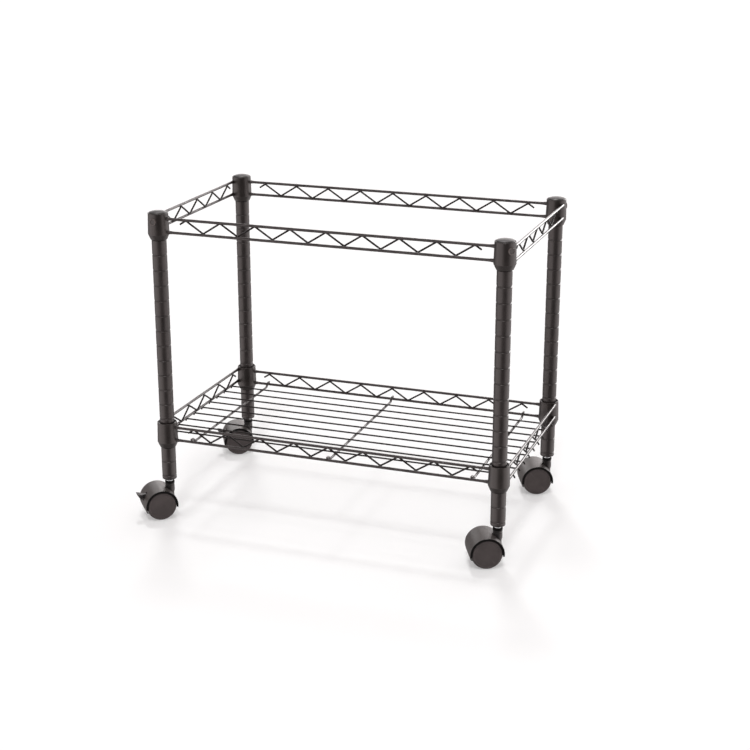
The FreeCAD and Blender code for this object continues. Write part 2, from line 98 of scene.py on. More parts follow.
# ---- collars
RIM_ABOVE_WIRE = 0.0094
COLLAR_TAPER_HEIGHT = 0.0345
COLLAR_BEVEL_HEIGHT = 0.0090
COLLAR_RIM_RADIUS = 0.0163
COLLAR_WIDE_RADIUS = 0.0173
COLLAR_FOOT_RADIUS = 0.0133
COLLAR_FOOT_GAP = 0.0003
COLLAR_WALL = 0.0015
COLLAR_FOOT_WALL = 0.002
COLLAR_WIDE_STEP = 0.001
COLLAR_WIDE_ROUND = 0.0020
COLLAR_RIM_ROUND = 0.0007
BADGE_RADIUS = 0.0058
BADGE_RISE = 0.0009
BADGE_RING = 0.0014
BADGE_PLATE_DROP = 0.6 * BADGE_RISE
BADGE_DEPTH = 4 * COLLAR_WALL
BADGE_BELOW_RIM = 0.0125
# degrees from +X that each badge faces
BADGE_FACING = {"front_left": -95, "front_right": -40, "rear_left": 95, "rear_right": 40}

# ---- wires
RAIL_RADIUS = 0.00225
RAIL_GAP = 0.022
WIRE_BEND = 0.0030
WEB_RADIUS = 0.00150
WEB_PITCH = 0.060
WEB_INSET = 0.00335
WEB_SHORT_OF_RAIL = 0.0015
WEB_STUB = 0.0105
LONG_WEB_PEAKS = 9
SIDE_WEB_PEAKS = 5
SIDE_OFFSET = 0.0125
SHELF_SIDE_LIFT = 0.0044
MAT_RADIUS = 0.0012
MAT_COAT = 0.00015
MAT_PITCH = 0.031
MAT_ROWS = [i * MAT_PITCH for i in range(-4, 5)]
MAT_PAST_RAIL = 0.002
MAT_TIP_DROP = 0.004
CROSS_RADIUS = 0.00195
CROSS_SPACING = 0.243
# how far inside the long rails a cross wire starts and ends its rise, and its end past them
CROSS_RISE_START = 0.0125
CROSS_RISE_END = 0.0045
CROSS_PAST_RAIL = 0.0015

# ---- welds: where a rail meets a collar, and (length, radius) of the beads between wires
WELD_RADIUS = 0.0031
WELD_LENGTH = 0.0055
WELD_SINK = 0.0005
WELD_REACH = 0.026
WELD_SHARES = (0, 0.04, 0.09, 0.15, 0.22, 0.32, 0.45, 0.65, 1.0)
WEB_BEAD = (0.0062, 0.0013)
WEB_BEAD_SHIFT = 0.1 * WEB_SHORT_OF_RAIL
MAT_BEAD = (0.0038, 0.0009)
CROSS_MAT_BEAD = (0.0040, 0.0010)
CROSS_RAIL_BEAD = (0.0050, 0.0012)

# ---- stems and swivel bosses
STEM_RADIUS = 0.00475
PIVOT_RADIUS = 0.004
PIVOT_CLEAR = 0.0042
WASHER_RADIUS = 0.0058
WASHER_GAP = 0.0003
WASHER_TOP = 0.0015
WASHER_SLOPE = 0.0002
BOSS_RADIUS = 0.0078
BOSS_INNER_RADIUS = 0.0066
BOSS_BOTTOM = 0.034
BOSS_TOP = 0.0605
BOSS_BELOW_TOP = 0.0008
BOSS_FLARE = 0.005
BOSS_GROOVE = (0.0528, 0.0548)
BOSS_GROOVE_DEPTH = 0.0008
BOSS_NECK_START = 0.0562
BOSS_NECK_DEPTH = 0.0009
BOSS_SLOPE = 0.0004
BOSS_ON_HOOD_ROUND = 0.0010
PIVOT_END_ROUND = 0.0005
SEAL_RADIUS = 0.0081
# the dust ring's section: (radius, height above the boss's top, corner radius)
SEAL_SECTION = (
    (PIVOT_CLEAR, -0.0030, 0),
    (SEAL_RADIUS, -0.0034, SOFT),
    (SEAL_RADIUS, -0.0002, 0.0005),
    (PIVOT_CLEAR, 0.0001, 0),
)

# ---- caster hoods; angles go round the axle, from the trailing side over the top
HOOD_INNER = 0.0259
HOOD_OUTER = 0.0276
HOOD_HALF_WIDTH = 0.0265
HOOD_EDGE = 0.0009
HOOD_FRONT = math.radians(188)
HOOD_BACK = math.radians(-8)
HOOD_TAIL = math.radians(-38)
TAIL_TIP_HEIGHT = 0.006
TAIL_SHOULDER_HEIGHT = 0.0215
WHEEL_WEB_HALF = 0.007
HUB_RADIUS = 0.008
# the lips reach in past the hood's inner wall to this radius, over the gap to the wheels, so their
# near-black also paints the shade in that gap
LIP_INNER = 0.0243
# a lip's section: (radius, distance beyond the hood's side, corner radius)
LIP_SECTION = (
    (HOOD_OUTER - 0.0001, -0.0006, CRISP),
    (HOOD_OUTER - 0.0001, 0.0002, EASED),
    (LIP_INNER, 0.0001, CRISP),
    (LIP_INNER, -0.0004, CRISP),
    (HOOD_INNER - 0.0005, -0.0006, CRISP),
    (HOOD_INNER - 0.0005, -0.0025, CRISP),
    (HOOD_INNER + 0.0003, -0.0025, CRISP),
)

# ---- wheels
WHEEL_WIDTH = 0.0182
WHEEL_INNER_FACE = 0.0076
AXLE_HOLE_RADIUS = 0.00305
WHEEL_HUB_RADIUS = 0.0072
WHEEL_HOLLOW_RADIUS = 0.0215
WHEEL_HOLLOW_DEPTH = 0.0125
WHEEL_HOLLOW_ROUND = 0.0008
WHEEL_RIM_SETBACK = 0.0008
TREAD_INNER = 0.0235
TREAD_SETBACK = 0.0009
TREAD_FACE_SETBACK = 0.0011
TREAD_SHOULDER = 0.0034
TREAD_SHOULDER_FALL = 0.0018
TREAD_INNER_ROUND = 0.0022
TREAD_OUTER_ROUND = 0.0018
# a wheel's outer face from the tread to the centre, with a raised ring near its edge:
# (radius, depth below the ring, corner radius)
WHEEL_FACE = (
    (TREAD_INNER, 0.0006, EASED),
    (0.0226, 0.0001, SOFT),
    (0.0216, 0, SOFT),
    (0.0209, 0.0008, SOFT),
    (0.0203, 0.0009, 0.0005),
    (0, 0.0006, 0),
)

# ---- brakes; outlines are seen from the side, as (x, z, corner radius) from the axle
LEVER_HALF = 0.0029
LEVER_OUTLINE = (
    (0.0040, 0.0135, 0.0010),
    (0.0060, 0.0180, 0.0015),
    (0.0140, 0.0155, 0.0030),
    (0.0240, 0.0170, 0.0020),
    (0.0285, 0.0170, 0.0006),
    (0.0295, 0.0110, 0.0006),
    (0.0240, 0.0075, 0.0020),
    (0.0140, 0.0075, 0.0030),
)
PEDAL_HALF = 0.0068
PEDAL_EDGE = 0.0008
PEDAL_OUTLINE = (
    (0.0292, 0.0080, 0.0012),
    (0.0282, 0.0170, 0.0008),
    (0.0385, 0.0195, 0.0009),
    (0.0340, 0.0120, 0.0025),
)
# the grip bars lie along the pedal's top, at these shares of the way to its tip
GRIP_SHARES = (0.3, 0.55, 0.8)
GRIP_RADIUS = 0.0005
GRIP_INSET = 0.0012
BRAKE_EYE_X = 0.006
BRAKE_EYE_Z = 0.016
BRAKE_EYE_RADIUS = 0.003
# the slot in a braked hood, and where the lever's room in the web ends
SLOT_HALF = LEVER_HALF + 0.0004
SLOT_START = math.radians(10.5)
SLOT_END = math.radians(42.5)
LEVER_ROOM_END = math.radians(84)

# ---- finishes: noise in waves per metre, relief in metres
WARM_SHEEN = (1.0, 0.92, 0.91, 1)
COAT_CLOUDS = 28
COAT_GRIT = 1500
COAT_PEEL = 520
PEEL_RELIEF = 0.00012
GRIT_RELIEF = 0.00003
PLASTIC_CLOUDS = 45
PLASTIC_GRAIN = 2200
PLASTIC_SCUFFS = 160
GRAIN_RELIEF = 0.00005
ZINC_TARNISH = 120
ZINC_LINES = 900
ZINC_RELIEF = 0.00003
ZINC_METALLIC = 0.45
ZINC_DULL = [0.74, 0.75, 0.77, 1]
ZINC_BRIGHT = [0.92, 0.93, 0.94, 1]

# ---- a shooting table lit from below as well as from above
FLOOR_REACH = 40.0
FLOOR_CLOUDS = 3
FLOOR_ROUGHNESS = 0.85
FLOOR_GLOSS = 0.1
FLOOR_GLOW = 0.30
FLOOR_GLOW_TINT = (1.0, 0.99, 0.985, 1)
FLOOR_DARK = [0.580, 0.582, 0.584, 1]
FLOOR_LIGHT = [0.600, 0.602, 0.604, 1]

# ---- how bright the studio looks to the cart, by direction
FRONT_GLOW = 0.24
FLANK_GLOW = 2.0
BACK_GLOW = 0.35
BACK_WALL_GLOW = 2.6
CEILING_GLOW = 0.60
BELOW_GLOW = 0.25
STUDIO_TINT = (1.0, 0.955, 0.95, 1)
STUDIO_FRONT = (0.50, -0.866, 0.0)
# where one brightness passes into the next: cosines from the front, then heights of the
# direction, from -1 straight down to 1 straight up, and its reach to the rear
FLANK_TO_FRONT = (0.65, 0.91)
BACK_TO_FLANK = (-0.75, -0.25)
WALLS_TO_CEILING = (0.15, 0.45)
BELOW_TO_WALLS = (-0.80, -0.55)
BACK_WALL_EDGE = (0.80, 0.90)
BACK_WALL_FOOT = (0.02, 0.12)
KEY_SOFTNESS = math.radians(9)
KEY_POWER = 0.95

# ---- camera
CAMERA_PLACE = (0.868, -2.333, 1.055)
CAMERA_AIM = (0.024, 0, 0.233)
CAMERA_LENS = 74.4
CAMERA_SENSOR = 36


# ---------------------------------------------------------------- meshes

def skin(columns, around=False, along=False, capped=False):
    """(points, faces) of the surface through equal columns of points.

    around joins the last column to the first, along joins each column's last point to
    its first, and capped closes the first and the last column with a face.
    """
    rows = len(columns[0])
    points = [point for column in columns for point in column]
    faces = []
    for i in range(len(columns) if around else len(columns) - 1):
        here = i * rows
        there = (i + 1) % len(columns) * rows
        for j in range(rows if along else rows - 1):
            k = (j + 1) % rows
            faces.append((here + j, there + j, there + k, here + k))
    if capped:
        last = (len(columns) - 1) * rows
        faces.append(tuple(range(rows)))
        faces.append(tuple(last + j for j in reversed(range(rows))))
    return points, faces


def joined(parts):
    """Several (points, faces) as one."""
    points, faces = [], []
    for part_points, part_faces in parts:
        start = len(points)
        points += part_points
        faces += [tuple(start + i for i in face) for face in part_faces]
    return points, faces


def placed(geometry, matrix):
    """(points, faces) moved by a matrix."""
    points, faces = geometry
    return [matrix @ Vector(point) for point in points], faces


def rounded(outline, closed=True, steps=4):
    """An outline of (x, y, radius) corners as (x, y) points, each corner an arc."""
    count = len(outline)
    points = []
    for i, (x, y, radius) in enumerate(outline):
        corner = Vector((x, y))
        if radius == 0 or (not closed and i in (0, count - 1)):
            points.append(corner)
            continue
        before = Vector(outline[i - 1][:2]) - corner
        after = Vector(outline[(i + 1) % count][:2]) - corner
        half_angle = before.angle(after) / 2
        setback = radius / math.tan(half_angle)
        centre = corner + (before.normalized() + after.normalized()).normalized() * (
            radius / math.sin(half_angle)
        )
        first = corner + before.normalized() * setback - centre
        last = corner + after.normalized() * setback - centre
        turn = first.angle_signed(last)
        for step in range(steps + 1):
            arm = first.copy()
            arm.rotate(Matrix.Rotation(-turn * step / steps, 2))
            points.append(centre + arm)
    return points


def lathe(outline, closed=True, sides=LOOP_SIDES):
    """A solid of revolution about Z from (radius, height) points."""
    columns = []
    for i in range(sides):
        a = 2 * math.pi * i / sides
        columns.append([Vector((r * math.cos(a), r * math.sin(a), z)) for r, z in outline])
    return skin(columns, around=True, along=closed)


def circle_round(centre, forward, up, radius, sides):
    """The points of a circle that faces forward."""
    side = forward.cross(up).normalized()
    lift = side.cross(forward).normalized()
    ring = []
    for i in range(sides):
        a = 2 * math.pi * i / sides
        ring.append(centre + (side * math.cos(a) + lift * math.sin(a)) * radius)
    return ring


def rod(path, radius, up, sides, end_chamfer=EASED):
    """A round rod with eased ends along a flat path; up is square to the path's plane."""
    columns = []
    for i, point in enumerate(path):
        before = path[max(i - 1, 0)]
        after = path[min(i + 1, len(path) - 1)]
        columns.append((point, (after - before).normalized(), radius))
    first, heading, _ = columns[0]
    last, leaving, _ = columns[-1]
    columns[0] = (first + heading * end_chamfer, heading, radius)
    columns[-1] = (last - leaving * end_chamfer, leaving, radius)
    columns.insert(0, (first, heading, radius - end_chamfer))
    columns.append((last, leaving, radius - end_chamfer))
    rings = [circle_round(centre, forward, up, r, sides) for centre, forward, r in columns]
    return skin(rings, along=True, capped=True)


def bent_path(points, bend=WIRE_BEND, steps=5):
    """Straight runs joined by arcs of the given centreline radius."""
    path = [points[0]]
    for before, corner, after in zip(points, points[1:], points[2:]):
        arriving = (corner - before).normalized()
        leaving = (after - corner).normalized()
        half_turn = arriving.angle(leaving) / 2
        centre = corner + (leaving - arriving).normalized() * (bend / math.cos(half_turn))
        start = corner - arriving * bend * math.tan(half_turn) - centre
        end = corner + leaving * bend * math.tan(half_turn) - centre
        for step in range(steps + 1):
            path.append(centre + start.slerp(end, step / steps).normalized() * bend)
    path.append(points[-1])
    return path


def bead(centre, along, size):
    """A drop of weld metal, its size (length, radius), lying along a wire."""
    length, radius = size
    outline = []
    for i in range(BEAD_RINGS + 1):
        a = math.pi * i / BEAD_RINGS - math.pi / 2
        outline.append((radius * math.cos(a), length / 2 * math.sin(a)))
    turn = along.to_track_quat("Z", "Y").to_matrix().to_4x4()
    drop = lathe(outline, closed=False, sides=BEAD_SIDES)
    return placed(drop, Matrix.Translation(centre) @ turn)


def prism(outline, half_width, corner):
    """A plate in the XZ plane, half_width thick each side of it, with rounded edges."""
    inner = [Vector((x, y)) for x, y in outline]
    middle = sum(inner, Vector((0, 0))) / len(inner)
    levels = ((-half_width, corner), (-half_width + corner, 0))
    levels += ((half_width - corner, 0), (half_width, corner))
    columns = []
    for y, draw_in in levels:
        ring = []
        for point in inner:
            arm = middle - point
            spot = point + arm.normalized() * min(draw_in, arm.length / 2)
            ring.append(Vector((spot.x, y, spot.y)))
        columns.append(ring)
    return skin(columns, along=True, capped=True)


def piece(name, geometry, body, material):
    """One visible piece, riding on its body."""
    points, faces = geometry
    mesh = bpy.data.meshes.new(name)
    mesh.from_pydata([tuple(point) for point in points], [], faces)
    edit = bmesh.new()
    edit.from_mesh(mesh)
    bmesh.ops.remove_doubles(edit, verts=edit.verts, dist=MERGE_DISTANCE)
    bmesh.ops.recalc_face_normals(edit, faces=edit.faces)
    edit.to_mesh(mesh)
    edit.free()
    mesh.shade_smooth()
    mesh.set_sharp_from_angle(angle=SHARP_ANGLE)
    mesh.materials.append(material)
    made = bpy.data.objects.new(name, mesh)
    bpy.context.scene.collection.objects.link(made)
    even = made.modifiers.new("even_normals", "WEIGHTED_NORMAL")
    even.keep_sharp = True
    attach(made, body)
    return made


# ---------------------------------------------------------------- materials

def new_material(name):
    material = bpy.data.materials.new(name)
    material.use_nodes = True
    return material, material.node_tree, material.node_tree.nodes["Principled BSDF"]


def node(tree, kind, inputs, **settings):
    """A new shader node with its inputs linked or set."""
    made = tree.nodes.new(kind)
    for key, value in settings.items():
        setattr(made, key, value)
    for key, value in inputs.items():
        if isinstance(value, bpy.types.NodeSocket):
            tree.links.new(value, made.inputs[key])
        else:
            made.inputs[key].default_value = value
    return made


def noise(tree, scale, detail, roughness=0.5):
    """Noise fixed to the object; all of a tree's noises share one coordinate node."""
    place = tree.nodes.get("place") or node(tree, "ShaderNodeTexCoord", {}, name="place")
    vector = place.outputs["Object"]
    inputs = {"Vector": vector, "Scale": scale, "Detail": detail, "Roughness": roughness}
    return node(tree, "ShaderNodeTexNoise", inputs).outputs["Fac"]


def spread(tree, value, low, high, to_low, to_high):
    """A value stretched from low..high to to_low..to_high, and held at those ends."""
    inputs = {"Value": value, "From Min": low, "From Max": high}
    inputs.update({"To Min": to_low, "To Max": to_high})
    return node(tree, "ShaderNodeMapRange", inputs).outputs["Result"]


def product(tree, first, second):
    return node(tree, "ShaderNodeMath", {0: first, 1: second}, operation="MULTIPLY").outputs[0]


def total(tree, first, second):
    return node(tree, "ShaderNodeMath", {0: first, 1: second}, operation="ADD").outputs[0]


def blend(tree, share, first, second):
    """The colour between two colours at a share of the way."""
    mix = node(tree, "ShaderNodeMix", {"Factor": share}, data_type="RGBA")
    for socket, value in zip([s for s in mix.inputs if s.type == "RGBA"], (first, second)):
        if isinstance(value, bpy.types.NodeSocket):
            tree.links.new(value, socket)
        else:
            socket.default_value = value
    return next(s for s in mix.outputs if s.type == "RGBA")


def relief(tree, height, distance, strength, below=None):
    """A bumped normal, on top of another where one is given."""
    inputs = {"Height": height, "Distance": distance, "Strength": strength}
    if below is not None:
        inputs["Normal"] = below
    return node(tree, "ShaderNodeBump", inputs).outputs["Normal"]


def tinted(shade, factor):
    return [channel * factor for channel in shade] + [1]


def powder_coat(name, shade, sheen_low, sheen_high, gloss=0.5):
    """Charcoal powder coat: orange peel, fine grit, clouded colour and rubbed corners."""
    material, tree, surface = new_material(name)
    surface.inputs["Specular IOR Level"].default_value = gloss
    surface.inputs["Specular Tint"].default_value = WARM_SHEEN
    clouds = noise(tree, COAT_CLOUDS, 4, 0.6)
    grit = noise(tree, COAT_GRIT, 2, 0.7)
    peel = noise(tree, COAT_PEEL, 1)
    rubbed = tinted(shade, 2.6)
    clouded = spread(tree, clouds, 0.35, 0.65, 0, 1)
    colour = blend(tree, clouded, tinted(shade, 0.72), tinted(shade, 1.35))
    colour = blend(tree, spread(tree, grit, 0.62, 0.75, 0, 0.55), colour, rubbed)
    edges = node(tree, "ShaderNodeNewGeometry", {}).outputs["Pointiness"]
    colour = blend(tree, spread(tree, edges, 0.53, 0.60, 0, 0.6), colour, rubbed)
    tree.links.new(colour, surface.inputs["Base Color"])
    sheen = spread(tree, clouds, 0.3, 0.7, sheen_low, sheen_high)
    tree.links.new(sheen, surface.inputs["Roughness"])
    normal = relief(tree, peel, PEEL_RELIEF, 0.35)
    normal = relief(tree, grit, GRIT_RELIEF, 0.30, normal)
    tree.links.new(normal, surface.inputs["Normal"])
    return material


def moulded_plastic(name, shade, sheen_low, sheen_high, grain, gloss=0.45):
    """Moulded nylon: a fine spark-eroded grain, faint flow clouds and paler handled edges."""
    material, tree, surface = new_material(name)
    surface.inputs["Specular IOR Level"].default_value = gloss
    surface.inputs["Specular Tint"].default_value = WARM_SHEEN
    clouds = noise(tree, PLASTIC_CLOUDS, 3, 0.55)
    texture = noise(tree, PLASTIC_GRAIN, 3, 0.65)
    scuffs = noise(tree, PLASTIC_SCUFFS, 6, 0.75)
    worn = tinted(shade, 1.9)
    clouded = spread(tree, clouds, 0.35, 0.65, 0, 1)
    colour = blend(tree, clouded, tinted(shade, 0.85), tinted(shade, 1.18))
    colour = blend(tree, spread(tree, scuffs, 0.60, 0.72, 0, 0.35), colour, worn)
    edges = node(tree, "ShaderNodeNewGeometry", {}).outputs["Pointiness"]
    colour = blend(tree, spread(tree, edges, 0.54, 0.62, 0, 0.4), colour, worn)
    tree.links.new(colour, surface.inputs["Base Color"])
    sheen = spread(tree, scuffs, 0.3, 0.7, sheen_low, sheen_high)
    tree.links.new(sheen, surface.inputs["Roughness"])
    tree.links.new(relief(tree, texture, GRAIN_RELIEF, grain), surface.inputs["Normal"])
    return material


def zinc_plate(name):
    """Bright zinc plate: fine turning marks and a faint tarnish."""
    material, tree, surface = new_material(name)
    tarnish = noise(tree, ZINC_TARNISH, 4, 0.6)
    lines = noise(tree, ZINC_LINES, 2, 0.6)
    colour = blend(tree, tarnish, ZINC_DULL, ZINC_BRIGHT)
    tree.links.new(colour, surface.inputs["Base Color"])
    surface.inputs["Metallic"].default_value = ZINC_METALLIC
    tree.links.new(spread(tree, tarnish, 0.3, 0.7, 0.14, 0.30), surface.inputs["Roughness"])
    tree.links.new(relief(tree, lines, ZINC_RELIEF, 0.25), surface.inputs["Normal"])
    return material


COAT = (0.0135, 0.0105, 0.0100)
post_coat = powder_coat("post_coat", COAT, 0.30, 0.42)
collar_coat = powder_coat("collar_coat", (0.0110, 0.0085, 0.0075), 0.27, 0.38)
# the badge ring's coat is about five times lighter than the collar's: a painted highlight on the
# raised ring
badge_highlight_coat = powder_coat("badge_highlight_coat", (0.060, 0.048, 0.044), 0.24, 0.34)
wire_coat = powder_coat("wire_coat", COAT, 0.26, 0.36, 0.55)
# a darker, less glossy copy of the wire coat for the zigzags and the mat: painted shade, since
# these are the same coated wire as the rails
shaded_web_coat = powder_coat("shaded_web_coat", (0.0070, 0.0054, 0.0052), 0.36, 0.46, 0.20)
black_plastic = moulded_plastic("black_plastic", (0.014, 0.013, 0.013), 0.34, 0.48, 0.30)
sleeve_plastic = moulded_plastic("sleeve_plastic", (0.014, 0.014, 0.014), 0.45, 0.60, 0.30)
hood_plastic = moulded_plastic("hood_plastic", (0.043, 0.037, 0.035), 0.34, 0.48, 0.40)
# near-black plastic for the hood's lips and the swivel's dust ring, darker than the other black
# parts: partly their own black, partly painted shade in the gap to the wheels and under the post
lip_shade_plastic = moulded_plastic("lip_shade_plastic", (0.003, 0.003, 0.003), 0.50, 0.65, 0.20, 0.10)
pedal_plastic = moulded_plastic("pedal_plastic", (0.020, 0.019, 0.019), 0.40, 0.55, 0.35)
wheel_plastic = moulded_plastic("wheel_plastic", (0.0425, 0.0345, 0.0340), 0.50, 0.62, 0.35)
# the tread's near-black, far darker than the disc, is partly its own colour, partly painted shade
# widening the dark ring round the wheel's face
tread_shade_plastic = moulded_plastic("tread_shade_plastic", (0.010, 0.009, 0.009), 0.45, 0.60, 0.30)
steel = zinc_plate("steel")


# ---------------------------------------------------------------- frame

def post_axis(corner):
    """The point on the floor under a post's axis."""
    low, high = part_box("post_" + corner)
    return Vector(((low.x + high.x) / 2, (low.y + high.y) / 2, 0))


def post_radius(corner):
    low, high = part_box("post_" + corner)
    return (high.x - low.x) / 2


def rim_height(level):
    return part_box(level + "_collar_front_left")[1].z


def wire_height(level):
    """The height of the upper front and rear wires' axes."""
    return rim_height(level) - RIM_ABOVE_WIRE


HALF_X = post_axis("front_right").x
HALF_Y = post_axis("rear_right").y


def groove_heights(bottom, top):
    """The heights of a post's grooves, one pitch apart and in step with the shelf."""
    first = rim_height("shelf") - GROOVE_BELOW_RIM
    while first - GROOVE_PITCH > bottom + GROOVE_MOUTH:
        first -= GROOVE_PITCH
    count = int((top - GROOVE_MOUTH - first) / GROOVE_PITCH) + 1
    return [first + i * GROOVE_PITCH for i in range(count)]


def make_post(corner):
    """A grooved tube."""
    low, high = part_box("post_" + corner)
    radius = post_radius(corner)
    bore = radius - POST_WALL
    outline = [(bore, low.z, 0), (radius, low.z, EASED)]
    for z in groove_heights(low.z, high.z):
        outline.append((radius, z - GROOVE_MOUTH / 2, ROUND))
        outline.append((radius - GROOVE_DEPTH, z - GROOVE_FLOOR / 2, EASED))
        outline.append((radius - GROOVE_DEPTH, z + GROOVE_FLOOR / 2, EASED))
        outline.append((radius, z + GROOVE_MOUTH / 2, ROUND))
    outline += [(radius, high.z, EASED), (bore, high.z, 0)]
    post = lathe(rounded(outline, steps=2))
    matrix = Matrix.Translation(post_axis(corner))
    made = piece("tube_" + corner, placed(post, matrix), "frame", post_coat)
    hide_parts("post_" + corner)


def make_cap(corner):
    """A domed cap with an eased edge."""
    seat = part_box("post_" + corner)[1].z
    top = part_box("post_cap_" + corner)[1].z
    rise = top - seat - CAP_EDGE
    sphere = (CAP_RADIUS**2 + rise**2) / (2 * rise)
    outline = [Vector((0, seat)), Vector((CAP_RADIUS - CAP_CORNER / 2, seat))]
    outline.append(Vector((CAP_RADIUS, seat + CAP_CORNER / 2)))
    outline.append(Vector((CAP_RADIUS, seat + CAP_EDGE - CAP_CORNER / 2)))
    for i in range(CAP_RINGS + 1):
        r = (CAP_RADIUS - CAP_CORNER / 2) * (1 - i / CAP_RINGS)
        outline.append(Vector((r, top - sphere + math.sqrt(sphere**2 - r**2))))
    cap = placed(lathe(outline, closed=False), Matrix.Translation(post_axis(corner)))
    made = piece("cap_" + corner, cap, "frame", black_plastic)
    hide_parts("post_cap_" + corner)


def collar_radius(below_rim):
    """A collar's outer radius at a depth below its rim."""
    widening = COLLAR_WIDE_RADIUS - COLLAR_RIM_RADIUS
    return COLLAR_RIM_RADIUS + widening * below_rim / COLLAR_TAPER_HEIGHT


def badge(rim, facing):
    """(plate, ring): a plain round plate and the raised ring round it, on a collar's side."""
    face = collar_radius(BADGE_BELOW_RIM) + BADGE_RISE
    inner = face - BADGE_DEPTH
    plate_face = face - BADGE_PLATE_DROP
    groove = BADGE_RADIUS - BADGE_RING
    plate = [(0, inner, 0), (groove, inner, 0), (groove, plate_face, SOFT), (0, plate_face, 0)]
    ring = [
        (groove, inner, 0),
        (BADGE_RADIUS, inner, 0),
        (BADGE_RADIUS, face, SOFT),
        (groove, face, SOFT),
    ]
    turn = Matrix.Rotation(math.radians(facing), 4, "Z") @ Matrix.Rotation(math.pi / 2, 4, "Y")
    place = Matrix.Translation((0, 0, rim - BADGE_BELOW_RIM)) @ turn
    plate = lathe(rounded(plate, closed=False), closed=False, sides=BADGE_SIDES)
    ring = lathe(rounded(ring), sides=BADGE_SIDES)
    return placed(plate, place), placed(ring, place)


def make_collar(level, corner):
    """A tapered sleeve round a post; the top ones carry a badge."""
    rim = rim_height(level)
    wide = rim - COLLAR_TAPER_HEIGHT
    foot = wide - COLLAR_BEVEL_HEIGHT
    foot_hole = post_radius(corner) + COLLAR_FOOT_GAP
    outline = [
        (foot_hole, foot, CRISP),
        (COLLAR_FOOT_RADIUS, foot, SOFT),
        (COLLAR_WIDE_RADIUS, wide, COLLAR_WIDE_ROUND),
        (COLLAR_RIM_RADIUS, rim, COLLAR_RIM_ROUND),
        (COLLAR_RIM_RADIUS - COLLAR_WALL, rim, SOFT),
        (COLLAR_WIDE_RADIUS - COLLAR_WALL, wide + COLLAR_WIDE_STEP, 0),
        (foot_hole, foot + COLLAR_FOOT_WALL, 0),
    ]
    place = Matrix.Translation(post_axis(corner))
    collar = placed(lathe(rounded(outline)), place)
    name = level + "_collar_" + corner
    if level == "top":
        plate, ring = badge(rim, BADGE_FACING[corner])
        collar = joined([collar, placed(plate, place)])
        # the ring's lighter coat is a painted highlight
        made = piece("badge_" + corner, placed(ring, place), "frame", badge_highlight_coat)
        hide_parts(name)
    made = piece("sleeve_" + name, collar, "frame", collar_coat)
    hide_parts(name)


def rail(start_post, end_post, shift, height, below_rim):
    """A wire between two collars, its ends swelling into their welds.

    shift is how far the wire runs beside the line through the posts' axes.
    """
    along = (end_post - start_post).normalized()
    side = shift.normalized() if shift.length else Vector((-along.y, along.x, 0))
    offset = shift.length
    hug = collar_radius(below_rim) - WELD_SINK
    far = hug + WELD_REACH
    columns = []
    for post, heading in ((start_post, along), (end_post, -along)):
        rings = []
        for share in WELD_SHARES:
            ring = []
            for i in range(RAIL_SIDES):
                a = 2 * math.pi * i / RAIL_SIDES
                beside = offset + WELD_RADIUS * math.cos(a)
                touch = math.sqrt(hug**2 - beside**2)
                reach = touch + (far - touch) * share
                swell = math.exp(-(((reach - touch) / WELD_LENGTH) ** 2))
                radius = RAIL_RADIUS + (WELD_RADIUS - RAIL_RADIUS) * swell
                spot = post + heading * reach + side * (offset + radius * math.cos(a))
                ring.append(spot + Vector((0, 0, height + radius * math.sin(a))))
            rings.append(ring)
        columns += rings if heading == along else rings[::-1]
    return skin(columns, along=True, capped=True)


def truss_facts(level, side):
    """((first, second post), outward direction, wire offset, top wire height, peaks)."""
    top = wire_height(level)
    if side in ("front", "rear"):
        ends = [post_axis(side + "_left"), post_axis(side + "_right")]
        return ends, Vector(OUTWARD[side]), 0.0, top, LONG_WEB_PEAKS
    ends = [post_axis("front_" + side), post_axis("rear_" + side)]
    lift = SHELF_SIDE_LIFT if level == "shelf" else 0.0
    return ends, Vector(OUTWARD[side]), SIDE_OFFSET, top + lift, SIDE_WEB_PEAKS


def make_rails(level, side):
    """The upper and the lower wire of one side of a level."""
    (first, second), outward, offset, top, _ = truss_facts(level, side)
    parts = []
    for z in (top, top - RAIL_GAP):
        parts.append(rail(first, second, outward * offset, z, rim_height(level) - z))
    name = level + "_" + side
    made = piece("wires_" + name, joined(parts), "frame", wire_coat)
    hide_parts(name + "_rails")


def make_web(level, side):
    """A zigzag wire with a weld bead at each peak and valley, short stubs at its ends."""
    (first, second), outward, offset, top, peaks = truss_facts(level, side)
    along = (second - first).normalized()
    middle = (first + second) / 2 + outward * (offset - WEB_INSET)
    high = top - WEB_SHORT_OF_RAIL
    low = top - RAIL_GAP + WEB_SHORT_OF_RAIL
    start = -WEB_PITCH * (peaks - 1) / 2
    drop = WEB_STUB * (high - low) / (WEB_PITCH / 2)

    def spot(distance, height):
        return middle + along * distance + Vector((0, 0, height))

    bends = [spot(start + i * WEB_PITCH / 2, low if i % 2 else high) for i in range(2 * peaks - 1)]
    points = [spot(start - WEB_STUB, high - drop), *bends, spot(-start + WEB_STUB, high - drop)]
    parts = [rod(bent_path(points), WEB_RADIUS, outward, WEB_SIDES)]
    for i, bend in enumerate(bends):
        towards_rail = Vector((0, 0, -1 if i % 2 else 1)) * WEB_BEAD_SHIFT
        parts.append(bead(bend + outward * WEB_INSET / 2 + towards_rail, along, WEB_BEAD))
    name = level + "_" + side + "_web"
    # the zigzag's darker coat is painted shade
    made = piece("zigzag_" + name, joined(parts), "frame", shaded_web_coat)
    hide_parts(name)


def mat_height():
    """The height of the mat wires' axes, just under the shelf's side wires."""
    return wire_height("shelf") + SHELF_SIDE_LIFT - RAIL_GAP - RAIL_RADIUS - MAT_RADIUS


